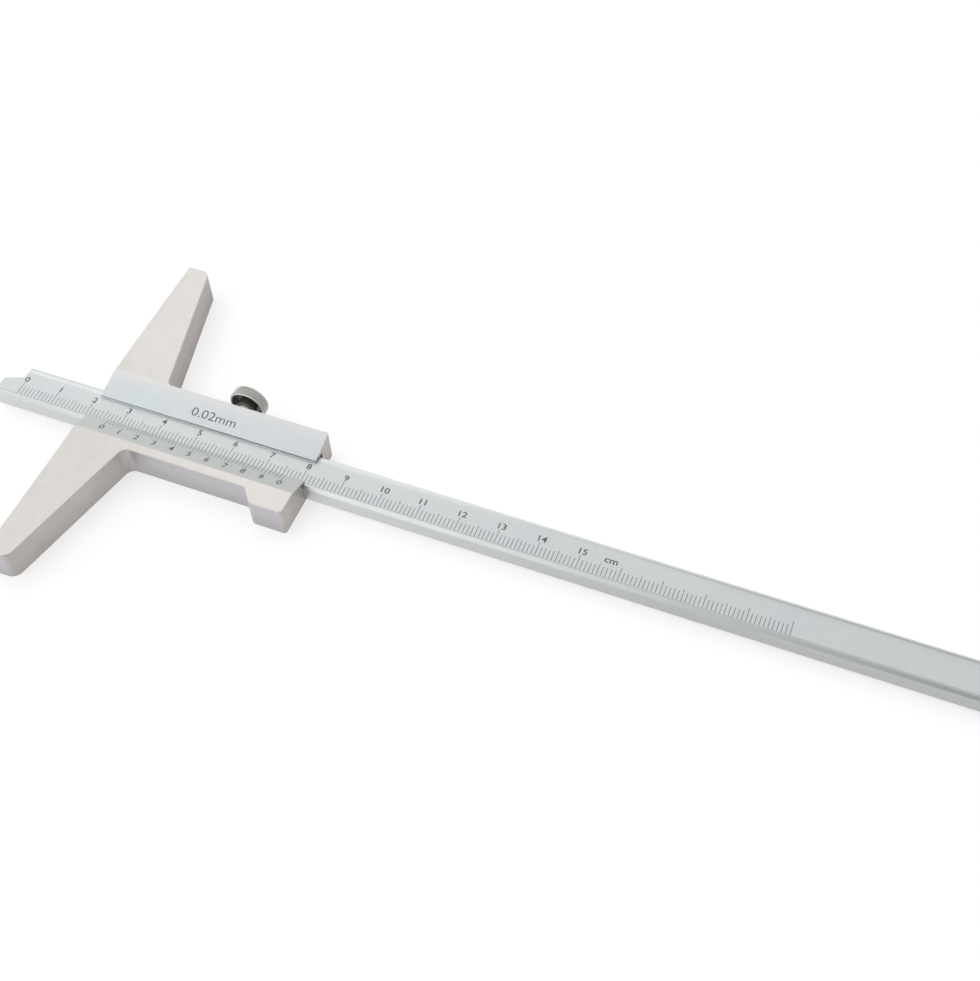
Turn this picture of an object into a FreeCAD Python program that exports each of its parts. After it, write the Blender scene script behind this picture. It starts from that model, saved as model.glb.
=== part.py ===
"""Vernier depth gauge with a 98.5 mm base, a sliding beam, a spring gib and a knurled lock screw.

Frame: X = 0 is the measuring face, Y = 0 the middle of the beam, Z = 0 the back face it lies on.
The beam's numbers grow towards +X, its tip points to -X, and the graduated side faces +Z.
"""

import FreeCAD, Part
import math
import os
import Sketcher

# Driving sizes in millimetres. Each is measured on one piece, or is a named clearance between two.
DRIVING_SIZES = {
    # base frame
    "base_length": 98.5,
    "frame_thick": 8.7,
    "slide_length": 60.0,
    "wing_tip_width": 6.1,
    "wing_root_width": 15.2,
    "rear_rail_width": 4.6,
    "front_rail_width": 6.3,
    "strip_width": 2.25,
    "front_lip_thick": 0.5,
    "rear_lip_thick": 0.6,
    "vernier_overlap": 1.35,
    "cover_overlap": 2.45,
    "block_length": 12.0,
    "block_slope": 3.2,
    "block_height": 3.9,
    "tip_round": 3.0,
    "heel_round": 0.5,
    "notch_round": 2.5,
    "wing_round": 1.5,
    "block_foot_round": 1.0,
    "block_round": 1.5,
    "end_round": 0.8,
    "edge_break": 0.2,
    # depth beam
    "beam_length": 260.0,
    "beam_width": 9.9,
    "beam_thick": 4.9,
    "beam_reach": 27.0,
    "nose_length": 4.9,
    "nose_shoulder": 3.45,
    "nose_fall": 1.9,
    "scale_chamfer": 0.7,
    "beam_chamfer": 0.3,
    # channel, back cover and its screws
    "run_clear": 0.05,
    "cover_thick": 1.2,
    "cover_margin": 3.4,
    "back_bridge": 6.0,
    "cover_corner": 1.5,
    "cover_fit": 0.04,
    "screw_inset": 11.0,
    "screw_shank_diameter": 1.6,
    "screw_head_diameter": 2.8,
    "screw_length": 3.0,
    "screw_slot_width": 0.4,
    "screw_slot_deep": 0.3,
    "screw_fit": 0.03,
    "hole_spare": 0.4,
    # gib and its set screws
    "gib_thick": 0.5,
    "gib_gap": 0.15,
    "gib_travel": 0.4,
    "gib_side_clear": 0.1,
    "gib_inset": 7.2,
    "gib_tab_reach": 1.6,
    "gib_tab_clear": 0.2,
    "set_screw_inset": 17.0,
    "set_screw_diameter": 2.0,
    "set_screw_gap": 0.2,
    "set_screw_sink": 0.5,
    # lock screw
    "lock_from_end": 24.7,
    "lock_height": 4.95,
    "lock_thread_diameter": 3.5,
    "lock_tip_diameter": 2.2,
    "lock_tip_length": 1.0,
    "lock_stand_off": 2.85,
    "lock_head_diameter": 9.6,
    "lock_head_thick": 3.0,
    "lock_head_chamfer": 0.35,
    "lock_collar_diameter": 4.8,
    "lock_collar_length": 1.0,
    "lock_recess_diameter": 8.2,
    "lock_recess_deep": 1.4,
    "lock_dimple_diameter": 5.0,
    "lock_dimple_deep": 0.25,
    # tools reach this far past the metal that they cut
    "overrun": 1.0,
}

# Places worked out from the driving sizes, as formulas of the same sheet.
DERIVED_SIZES = {
    "half_span": "=base_length / 2",
    "beam_half": "=beam_width / 2",
    "beam_back": "=cover_thick + run_clear",
    "beam_face": "=beam_back + beam_thick",
    "lip_under": "=beam_face + run_clear",
    "front_wall": "=beam_half + run_clear",
    "gib_front": "=beam_half + gib_gap",
    "gib_back": "=gib_front + gib_thick",
    "rear_wall": "=gib_back + gib_travel",
    "rear_edge": "=rear_wall + rear_rail_width",
    "front_edge": "=front_wall + front_rail_width",
    "block_edge": "=front_edge + block_height",
    "block_foot": "=slide_length - block_length",
    "block_head": "=block_foot + block_slope",
    "front_lip_edge": "=beam_half - vernier_overlap",
    "rear_lip_edge": "=beam_half - cover_overlap",
    "front_lip_top": "=lip_under + front_lip_thick",
    "rear_lip_top": "=lip_under + rear_lip_thick",
    "front_crease": "=front_edge - strip_width",
    "above_top": "=frame_thick + overrun",
    "past_rear": "=rear_edge + overrun",
    "rear_bevel_rise": "=(frame_thick - rear_lip_top) / (rear_edge - rear_lip_edge)",
    "past_rear_height": "=frame_thick + overrun * rear_bevel_rise",
    "cover_front": "=front_wall + cover_margin",
    "cover_rear": "=rear_wall + cover_margin",
    "rebate_end": "=slide_length - back_bridge",
    "plate_start": "=back_bridge + cover_fit",
    "plate_end": "=rebate_end - cover_fit",
    "plate_corner": "=cover_corner - cover_fit",
    "plate_front": "=cover_front - cover_fit",
    "plate_rear": "=cover_rear - cover_fit",
    "screw_front": "=front_wall + cover_margin / 2",
    "screw_rear": "=rear_wall + cover_margin / 2",
    "screw_far": "=slide_length - screw_inset",
    "screw_radius": "=screw_shank_diameter / 2",
    "screw_head_radius": "=screw_head_diameter / 2",
    "screw_head_deep": "=screw_head_radius - screw_radius",
    "screw_hole": "=screw_shank_diameter + 2 * screw_fit",
    "screw_hole_deep": "=screw_length + hole_spare",
    "gib_far": "=slide_length - gib_inset",
    "gib_low": "=cover_thick + gib_side_clear",
    "gib_high": "=lip_under - gib_side_clear - gib_low",
    "gib_tab_end": "=gib_back + gib_tab_reach",
    "gib_tab_near": "=gib_inset + gib_thick",
    "gib_tab_far": "=gib_far - gib_thick",
    "slot_near_start": "=gib_inset - gib_tab_clear",
    "slot_near_end": "=gib_tab_near + gib_tab_clear",
    "slot_far_start": "=gib_tab_far - gib_tab_clear",
    "slot_far_end": "=gib_far + gib_tab_clear",
    "slot_back": "=gib_tab_end + gib_travel",
    "slot_front": "=rear_wall - gib_travel",
    "mid_height": "=frame_thick / 2",
    "set_screw_far": "=slide_length - set_screw_inset",
    "set_screw_hole": "=set_screw_diameter + 2 * screw_fit",
    "set_screw_radius": "=set_screw_diameter / 2",
    "set_screw_tip": "=gib_back + set_screw_gap",
    "set_screw_length": "=rear_edge - set_screw_sink - set_screw_tip",
    "set_screw_head": "=set_screw_tip + set_screw_length - screw_slot_deep",
    "nose_root": "=beam_half - nose_shoulder",
    "nose_tip": "=nose_root - nose_fall",
    "beam_top_inner": "=beam_face - beam_chamfer",
    "beam_top_scale": "=beam_face - scale_chamfer",
    "beam_back_inner": "=beam_back + beam_chamfer",
    "beam_rear_inner": "=beam_half - beam_chamfer",
    "beam_scale_inner": "=beam_half - scale_chamfer",
    "beam_past": "=beam_half + overrun",
    "lock_place": "=slide_length - lock_from_end",
    "lock_radius": "=lock_thread_diameter / 2 - run_clear",
    "lock_tip_radius": "=lock_tip_diameter / 2",
    "lock_tip_end": "=gib_back + lock_tip_length",
    "lock_head_near": "=rear_edge + lock_stand_off",
    "lock_collar_near": "=lock_head_near - lock_collar_length",
    "lock_collar_radius": "=lock_collar_diameter / 2",
    "lock_recess_radius": "=lock_recess_diameter / 2",
    "lock_recess_floor": "=lock_head_near + lock_recess_deep",
    "lock_head_radius": "=lock_head_diameter / 2",
    "lock_rim_radius": "=lock_head_radius - lock_head_chamfer",
    "lock_head_low": "=lock_head_near + lock_head_chamfer",
    "lock_head_far": "=lock_head_near + lock_head_thick",
    "lock_head_high": "=lock_head_far - lock_head_chamfer",
    "lock_dimple_radius": "=lock_dimple_diameter / 2",
    "lock_dimple_floor": "=lock_head_far - lock_dimple_deep",
}

SAME_PLACE = 1e-4


def make_sheet(document):
    """Put every driving size and formula in one sheet, each under its alias."""
    sheet = document.addObject("Spreadsheet::Sheet", "Sizes")
    rows = list(DRIVING_SIZES.items()) + list(DERIVED_SIZES.items())
    for row, (alias, content) in enumerate(rows, start=1):
        sheet.set("A%d" % row, alias)
        sheet.set("B%d" % row, str(content))
        sheet.setAlias("B%d" % row, alias)
    document.recompute()
    return sheet


def value(sheet, name):
    """Read a size by alias; a leading minus sign turns it round, and "0" is zero."""
    if name == "0":
        return 0.0
    if name.startswith("-"):
        return -float(sheet.get(name[1:]))
    return float(sheet.get(name))


def bound(name):
    """The expression that ties a property to a size in the sheet."""
    return "-Sizes.%s" % name[1:] if name.startswith("-") else "Sizes.%s" % name


def new_body(document, name):
    body = document.addObject("PartDesign::Body", name)
    body.Label = name
    return body


def new_sketch(body, role, name):
    """A sketch on one of the body's own origin planes."""
    sketch = body.newObject("Sketcher::SketchObject", name)
    plane = next(item for item in body.Origin.OriginFeatures if item.Role == role)
    sketch.AttachmentSupport = [(plane, "")]
    sketch.MapMode = "FlatFace"
    return sketch


def hold_point(sketch, sheet, geometry, point, place):
    """Tie one point of a sketch to two sizes, measured from the sketch's origin."""
    x_name, y_name = place
    if x_name == "0":
        sketch.addConstraint(Sketcher.Constraint("PointOnObject", geometry, point, -2))
    else:
        held = Sketcher.Constraint("DistanceX", -1, 1, geometry, point, value(sheet, x_name))
        sketch.setExpression("Constraints[%d]" % sketch.addConstraint(held), bound(x_name))
    if y_name == "0":
        sketch.addConstraint(Sketcher.Constraint("PointOnObject", geometry, point, -1))
    else:
        held = Sketcher.Constraint("DistanceY", -1, 1, geometry, point, value(sheet, y_name))
        sketch.setExpression("Constraints[%d]" % sketch.addConstraint(held), bound(y_name))


def add_outline(sketch, sheet, corners):
    """A closed outline of straight lines, each corner tied to two named sizes."""
    places = [FreeCAD.Vector(value(sheet, x), value(sheet, y), 0) for x, y in corners]
    first = len(sketch.Geometry)
    count = len(corners)
    for index in range(count):
        line = Part.LineSegment(places[index], places[(index + 1) % count])
        sketch.addGeometry(line, False)
    for index in range(count):
        following = first + (index + 1) % count
        sketch.addConstraint(Sketcher.Constraint("Coincident", first + index, 2, following, 1))
        hold_point(sketch, sheet, first + index, 1, corners[index])


def add_rectangle(sketch, sheet, low, high):
    corners = [(low[0], low[1]), (high[0], low[1]), (high[0], high[1]), (low[0], high[1])]
    add_outline(sketch, sheet, corners)


def add_circle(sketch, sheet, centre, diameter):
    middle = FreeCAD.Vector(value(sheet, centre[0]), value(sheet, centre[1]), 0)
    ring = Part.Circle(middle, FreeCAD.Vector(0, 0, 1), value(sheet, diameter) / 2)
    geometry = sketch.addGeometry(ring, False)
    hold_point(sketch, sheet, geometry, 3, centre)
    held = Sketcher.Constraint("Diameter", geometry, value(sheet, diameter))
    sketch.setExpression("Constraints[%d]" % sketch.addConstraint(held), bound(diameter))


def add_pad(body, sketch, length):
    pad = body.newObject("PartDesign::Pad", sketch.Name + "Pad")
    pad.Profile = sketch
    pad.setExpression("Length", bound(length))
    sketch.Visibility = False
    return pad


def add_pocket(body, sketch, length=None, both_ways=False, upwards=False):
    """A pocket of a named depth, or right through when no depth is given."""
    pocket = body.newObject("PartDesign::Pocket", sketch.Name + "Pocket")
    pocket.Profile = sketch
    pocket.Reversed = upwards
    if length is None:
        pocket.Type = "ThroughAll"
        pocket.Midplane = both_ways
    else:
        pocket.setExpression("Length", bound(length))
    sketch.Visibility = False
    before = body.Shape.Volume
    body.Document.recompute()
    if not body.Shape.Volume < before:
        raise RuntimeError("%s cuts nothing" % pocket.Name)
    return pocket


def upright_edges(shape, places):
    """Names of the edges along Z that stand at the given places in plan."""
    names = []
    for number, edge in enumerate(shape.Edges, start=1):
        ends = [vertex.Point for vertex in edge.Vertexes]
        for x, y in places:
            if len(ends) == 2 and all(math.hypot(p.x - x, p.y - y) < SAME_PLACE for p in ends):
                names.append("Edge%d" % number)
    if len(names) != len(places):
        raise RuntimeError("wanted %d upright edges, found %d" % (len(places), len(names)))
    return names


def level_edges(shape, heights):
    """Names of all the edges that lie flat at one of the given heights."""
    names = []
    for number, edge in enumerate(shape.Edges, start=1):
        box = edge.BoundBox
        for height in heights:
            if abs(box.ZMin - height) < SAME_PLACE and abs(box.ZMax - height) < SAME_PLACE:
                names.append("Edge%d" % number)
    return names


def round_uprights(body, sheet, name, corners, radius):
    """Round the upright edges at named corners with one named radius."""
    places = [(value(sheet, x), value(sheet, y)) for x, y in corners]
    fillet = body.newObject("PartDesign::Fillet", name)
    base = body.Tip if body.Tip is not fillet else fillet.BaseFeature
    fillet.Base = (base, upright_edges(base.Shape, places))
    fillet.setExpression("Radius", bound(radius))
    body.Tip = fillet
    body.Document.recompute()
    return fillet


def make_base_frame(document, sheet):
    """The T-shaped casting: two measuring wings, the slide with its undercut channel, the block."""
    body = new_body(document, "base_frame")
    outline = new_sketch(body, "XY_Plane", "FrameOutline")
    corners = {
        "front_heel": ("0", "-half_span"),
        "front_tip": ("wing_tip_width", "-half_span"),
        "notch": ("wing_root_width", "-front_edge"),
        "block_foot": ("block_foot", "-front_edge"),
        "block_head": ("block_head", "-block_edge"),
        "block_end": ("slide_length", "-block_edge"),
        "rear_end": ("slide_length", "rear_edge"),
        "wing_root": ("wing_root_width", "rear_edge"),
        "rear_tip": ("wing_tip_width", "half_span"),
        "rear_heel": ("0", "half_span"),
    }
    add_outline(outline, sheet, list(corners.values()))
    add_pad(body, outline, "frame_thick")
    document.recompute()
    rounds = (
        ("TipRounds", ("front_tip", "rear_tip"), "tip_round"),
        ("HeelRounds", ("front_heel", "rear_heel", "rear_end"), "heel_round"),
        ("NotchRound", ("notch",), "notch_round"),
        ("WingRound", ("wing_root",), "wing_round"),
        ("BlockFootRound", ("block_foot",), "block_foot_round"),
        ("BlockRound", ("block_head",), "block_round"),
        ("EndRound", ("block_end",), "end_round"),
    )
    for name, chosen, radius in rounds:
        round_uprights(body, sheet, name, [corners[key] for key in chosen], radius)
    add_edge_break(body, sheet, ("0", "frame_thick"))

    channel = new_sketch(body, "YZ_Plane", "ChannelSection")
    section = [
        ("-front_wall", "cover_thick"),
        ("-front_wall", "lip_under"),
        ("-front_lip_edge", "lip_under"),
        ("-front_lip_edge", "front_lip_top"),
        ("-front_crease", "frame_thick"),
        ("-front_crease", "above_top"),
        ("past_rear", "above_top"),
        ("past_rear", "past_rear_height"),
        ("rear_lip_edge", "rear_lip_top"),
        ("rear_lip_edge", "lip_under"),
        ("rear_wall", "lip_under"),
        ("rear_wall", "cover_thick"),
    ]
    add_outline(channel, sheet, section)
    add_pocket(body, channel, both_ways=True)

    rebate = new_sketch(body, "XY_Plane", "CoverRebate")
    low = ("back_bridge", "-cover_front")
    high = ("rebate_end", "cover_rear")
    add_rectangle(rebate, sheet, low, high)
    add_pocket(body, rebate, "cover_thick", upwards=True)
    rebate_corners = [low, (high[0], low[1]), high, (low[0], high[1])]
    round_uprights(body, sheet, "RebateRounds", rebate_corners, "cover_corner")

    slots = new_sketch(body, "XY_Plane", "GibTabSlots")
    for start, end in (("slot_near_start", "slot_near_end"), ("slot_far_start", "slot_far_end")):
        add_rectangle(slots, sheet, (start, "slot_front"), (end, "slot_back"))
    add_pocket(body, slots, "lip_under", upwards=True)

    taps = new_sketch(body, "XY_Plane", "CoverScrewHoles")
    for x_name in ("screw_inset", "screw_far"):
        for y_name in ("-screw_front", "screw_rear"):
            add_circle(taps, sheet, (x_name, y_name), "screw_hole")
    add_pocket(body, taps, "screw_hole_deep", upwards=True)

    cross = new_sketch(body, "XZ_Plane", "LockHole")
    cross.setExpression("AttachmentOffset.Base.z", bound("-rear_wall"))
    add_circle(cross, sheet, ("lock_place", "lock_height"), "lock_thread_diameter")
    add_pocket(body, cross)

    setting = new_sketch(body, "XZ_Plane", "SetScrewHoles")
    for x_name in ("set_screw_inset", "set_screw_far"):
        add_circle(setting, sheet, (x_name, "mid_height"), "set_screw_hole")
    add_pocket(body, setting)
    return body


def add_edge_break(body, sheet, height_names):
    """A small chamfer round every edge that lies flat at the given heights."""
    base = body.Tip
    heights = [value(sheet, name) for name in height_names]
    chamfer = body.newObject("PartDesign::Chamfer", body.Name + "EdgeBreak")
    chamfer.Base = (base, level_edges(base.Shape, heights))
    chamfer.setExpression("Size", bound("edge_break"))
    body.Tip = chamfer
    body.Document.recompute()
    return chamfer


def make_depth_beam(document, sheet):
    """The graduated beam: a chamfered bar with a narrow stepped nose at its measuring end."""
    body = new_body(document, "depth_beam")
    bar = new_sketch(body, "YZ_Plane", "BeamSection")
    section = [
        ("-beam_rear_inner", "beam_back"),
        ("beam_rear_inner", "beam_back"),
        ("beam_half", "beam_back_inner"),
        ("beam_half", "beam_top_inner"),
        ("beam_rear_inner", "beam_face"),
        ("-beam_scale_inner", "beam_face"),
        ("-beam_half", "beam_top_scale"),
        ("-beam_half", "beam_back_inner"),
    ]
    add_outline(bar, sheet, section)
    add_pad(body, bar, "beam_length")
    document.recompute()
    nose = new_sketch(body, "XY_Plane", "NoseStep")
    step = [
        ("-overrun", "nose_tip"),
        ("0", "nose_tip"),
        ("nose_length", "nose_root"),
        ("nose_length", "beam_past"),
        ("-overrun", "beam_past"),
    ]
    add_outline(nose, sheet, step)
    add_pocket(body, nose, upwards=True)
    body.setExpression("Placement.Base.x", bound("-beam_reach"))
    return body


def make_back_cover(document, sheet):
    """The flat plate that closes the channel, with four countersunk holes."""
    body = new_body(document, "back_cover")
    plate = new_sketch(body, "XY_Plane", "PlateOutline")
    low = ("plate_start", "-plate_front")
    high = ("plate_end", "plate_rear")
    add_rectangle(plate, sheet, low, high)
    add_pad(body, plate, "cover_thick")
    document.recompute()
    plate_corners = [low, (high[0], low[1]), high, (low[0], high[1])]
    round_uprights(body, sheet, "PlateRounds", plate_corners, "plate_corner")
    holes = new_sketch(body, "XY_Plane", "PlateHoles")
    for x_name in ("screw_inset", "screw_far"):
        for y_name in ("-screw_front", "screw_rear"):
            add_circle(holes, sheet, (x_name, y_name), "screw_hole")
    pocket = add_pocket(body, holes, upwards=True)
    rims = []
    for number, edge in enumerate(pocket.Shape.Edges, start=1):
        if edge.Closed and abs(edge.BoundBox.ZMax) < SAME_PLACE:
            rims.append("Edge%d" % number)
    sinks = body.newObject("PartDesign::Chamfer", "PlateCountersinks")
    sinks.Base = (pocket, rims)
    sinks.setExpression("Size", bound("screw_head_deep"))
    body.Tip = sinks
    return body


def make_slotted_screw(document, name, x_name, y_name):
    """One countersunk screw of the back cover, its slotted head flush with the back face."""
    head = document.addObject("Part::Cone", name + "Head")
    head.setExpression("Radius1", bound("screw_head_radius"))
    head.setExpression("Radius2", bound("screw_radius"))
    head.setExpression("Height", bound("screw_head_deep"))
    shank = document.addObject("Part::Cylinder", name + "Shank")
    shank.setExpression("Radius", bound("screw_radius"))
    shank.setExpression("Height", bound("screw_length"))
    whole = document.addObject("Part::Fuse", name + "Whole")
    whole.Base = head
    whole.Tool = shank
    whole.Refine = True
    slot = document.addObject("Part::Box", name + "Slot")
    slot.setExpression("Length", bound("screw_head_diameter"))
    slot.setExpression("Width", bound("screw_slot_width"))
    slot.setExpression("Height", "%s * 2" % bound("screw_slot_deep"))
    slot.setExpression("Placement.Base.x", bound("-screw_head_radius"))
    slot.setExpression("Placement.Base.y", "%s / 2" % bound("-screw_slot_width"))
    slot.setExpression("Placement.Base.z", bound("-screw_slot_deep"))
    screw = document.addObject("Part::Cut", name)
    screw.Base = whole
    screw.Tool = slot
    screw.setExpression("Placement.Base.x", bound(x_name))
    screw.setExpression("Placement.Base.y", bound(y_name))
    return screw


def make_set_screw(document, name, x_name):
    """One slotted set screw of the gib, lying along Y in the rear rail."""
    along_rear = FreeCAD.Rotation(FreeCAD.Vector(1, 0, 0), -90)
    stud = document.addObject("Part::Cylinder", name + "Stud")
    stud.Placement = FreeCAD.Placement(FreeCAD.Vector(), along_rear)
    stud.setExpression("Radius", bound("set_screw_radius"))
    stud.setExpression("Height", bound("set_screw_length"))
    stud.setExpression("Placement.Base.x", bound(x_name))
    stud.setExpression("Placement.Base.y", bound("set_screw_tip"))
    stud.setExpression("Placement.Base.z", bound("mid_height"))
    slot = document.addObject("Part::Box", name + "Slot")
    slot.setExpression("Length", bound("set_screw_diameter"))
    slot.setExpression("Width", "%s * 2" % bound("screw_slot_deep"))
    slot.setExpression("Height", bound("screw_slot_width"))
    slot.setExpression("Placement.Base.x", "%s - Sizes.set_screw_radius" % bound(x_name))
    slot.setExpression("Placement.Base.y", bound("set_screw_head"))
    slot.setExpression("Placement.Base.z", "Sizes.mid_height - Sizes.screw_slot_width / 2")
    screw = document.addObject("Part::Cut", name)
    screw.Base = stud
    screw.Tool = slot
    return screw


def make_group(document, name, screws):
    """One node of several equal fasteners, each still a solid of its own."""
    group = document.addObject("Part::Compound", name)
    group.Label = name
    group.Links = screws
    return group


def make_gib_strip(document, sheet):
    """The bronze leaf between beam and rear rail, with a tab at each end that keeps it in place."""
    body = new_body(document, "gib_strip")
    leaf = new_sketch(body, "XY_Plane", "GibOutline")
    outline = [
        ("gib_inset", "gib_front"),
        ("gib_far", "gib_front"),
        ("gib_far", "gib_tab_end"),
        ("gib_tab_far", "gib_tab_end"),
        ("gib_tab_far", "gib_back"),
        ("gib_tab_near", "gib_back"),
        ("gib_tab_near", "gib_tab_end"),
        ("gib_inset", "gib_tab_end"),
    ]
    add_outline(leaf, sheet, outline)
    add_pad(body, leaf, "gib_high")
    body.setExpression("Placement.Base.z", bound("gib_low"))
    return body


def make_lock_screw(document, sheet):
    """The thumb screw: a turned head with rim chamfers, a collar, a shank and a small round tip."""
    body = new_body(document, "lock_screw")
    profile = new_sketch(body, "XY_Plane", "LockProfile")
    half = [
        ("0", "gib_back"),
        ("lock_tip_radius", "gib_back"),
        ("lock_tip_radius", "lock_tip_end"),
        ("lock_radius", "lock_tip_end"),
        ("lock_radius", "lock_collar_near"),
        ("lock_collar_radius", "lock_collar_near"),
        ("lock_collar_radius", "lock_recess_floor"),
        ("lock_recess_radius", "lock_recess_floor"),
        ("lock_recess_radius", "lock_head_near"),
        ("lock_rim_radius", "lock_head_near"),
        ("lock_head_radius", "lock_head_low"),
        ("lock_head_radius", "lock_head_high"),
        ("lock_rim_radius", "lock_head_far"),
        ("lock_dimple_radius", "lock_head_far"),
        ("0", "lock_dimple_floor"),
    ]
    add_outline(profile, sheet, half)
    turned = body.newObject("PartDesign::Revolution", "LockTurned")
    turned.Profile = profile
    turned.ReferenceAxis = (profile, ["V_Axis"])
    turned.Angle = 360.0
    profile.Visibility = False
    body.setExpression("Placement.Base.x", bound("lock_place"))
    body.setExpression("Placement.Base.z", bound("lock_height"))
    return body


def check_document(document, pieces):
    """Stop before anything is written if an object failed or a piece isn't sound."""
    for item in document.Objects:
        if "Invalid" in item.State or "Error" in item.State:
            raise RuntimeError("%s failed: %s" % (item.Name, item.State))
    for piece in pieces:
        if piece.Shape.isNull() or not piece.Shape.isValid():
            raise RuntimeError("%s has no sound shape" % piece.Label)


def main():
    document = FreeCAD.newDocument("depth_gauge")
    sheet = make_sheet(document)
    cover_screws = []
    set_screws = []
    for x_name, end in (("screw_inset", "Near"), ("screw_far", "Far")):
        for y_name, side in (("-screw_front", "Front"), ("screw_rear", "Rear")):
            name = "CoverScrew" + end + side
            cover_screws.append(make_slotted_screw(document, name, x_name, y_name))
    for x_name, end in (("set_screw_inset", "Near"), ("set_screw_far", "Far")):
        set_screws.append(make_set_screw(document, "SetScrew" + end, x_name))
    pieces = [
        make_base_frame(document, sheet),
        make_depth_beam(document, sheet),
        make_back_cover(document, sheet),
        make_group(document, "back_cover_screws", cover_screws),
        make_gib_strip(document, sheet),
        make_group(document, "gib_set_screws", set_screws),
        make_lock_screw(document, sheet),
    ]
    document.recompute()
    check_document(document, pieces)
    os.makedirs("parts", exist_ok=True)
    for piece in pieces:
        piece.Shape.exportStep("parts/%s.step" % piece.Label)
        box = piece.Shape.BoundBox
        print(piece.Label, len(piece.Shape.Solids), "solids, volume %.1f" % piece.Shape.Volume)
        print("   x %.2f..%.2f y %.2f..%.2f z %.2f..%.2f"
              % (box.XMin, box.XMax, box.YMin, box.YMax, box.ZMin, box.ZMax))


main()
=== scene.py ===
"""Dresses the depth gauge: finishes, engraved scales, the knurled lock screw, studio and camera."""

import logging
import math
from dataclasses import dataclass
from enum import Enum
from typing import Dict, List, Tuple

import bmesh
import bpy
from bmesh.types import BMesh
from bpy.types import Material, Node, NodeSocket, NodeTree, Object
from mathutils import Euler, Matrix, Vector


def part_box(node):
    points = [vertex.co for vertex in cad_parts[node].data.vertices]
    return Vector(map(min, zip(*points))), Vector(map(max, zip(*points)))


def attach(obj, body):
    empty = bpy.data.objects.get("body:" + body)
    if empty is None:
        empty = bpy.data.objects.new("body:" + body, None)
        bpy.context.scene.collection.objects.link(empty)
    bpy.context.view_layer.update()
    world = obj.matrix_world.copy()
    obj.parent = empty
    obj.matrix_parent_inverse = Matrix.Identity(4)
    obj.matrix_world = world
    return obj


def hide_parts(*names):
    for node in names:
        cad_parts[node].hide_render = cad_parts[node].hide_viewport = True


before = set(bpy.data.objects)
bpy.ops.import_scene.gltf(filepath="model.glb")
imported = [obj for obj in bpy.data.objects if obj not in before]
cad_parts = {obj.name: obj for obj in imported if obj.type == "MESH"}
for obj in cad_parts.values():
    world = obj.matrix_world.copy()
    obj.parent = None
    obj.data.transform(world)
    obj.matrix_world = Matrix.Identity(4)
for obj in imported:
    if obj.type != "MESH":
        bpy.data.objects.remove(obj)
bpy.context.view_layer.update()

MM = 0.001
CAPITAL_SHARE = 0.70
WHITE = (1.0, 1.0, 1.0)
Pair = Tuple[float, float]
Triple = Tuple[float, float, float]
Colour = Triple
log = logging.getLogger("depth_gauge")


class Body(Enum):
    """The bodies that new pieces ride on."""

    FRAME = "frame"
    BEAM = "beam"
    LOCK = "lock"


class Slot(Enum):
    """The record's material slots, passed to the engravers with each new piece."""

    FRAME_STEEL = "frame_steel"
    BEAM_CHROME = "beam_chrome"
    LOCK_NICKEL = "lock_nickel"


def srgb(red: int, green: int, blue: int) -> Colour:
    """Turn an 8-bit display colour into a linear one.

    Args:
        red: red from 0 to 255.
        green: green from 0 to 255.
        blue: blue from 0 to 255.

    Returns:
        The linear colour.
    """
    linear = []
    for level in (red, green, blue):
        share = level / 255
        linear.append(share / 12.92 if share <= 0.04045 else ((share + 0.055) / 1.055) ** 2.4)
    return tuple(linear)


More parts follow.
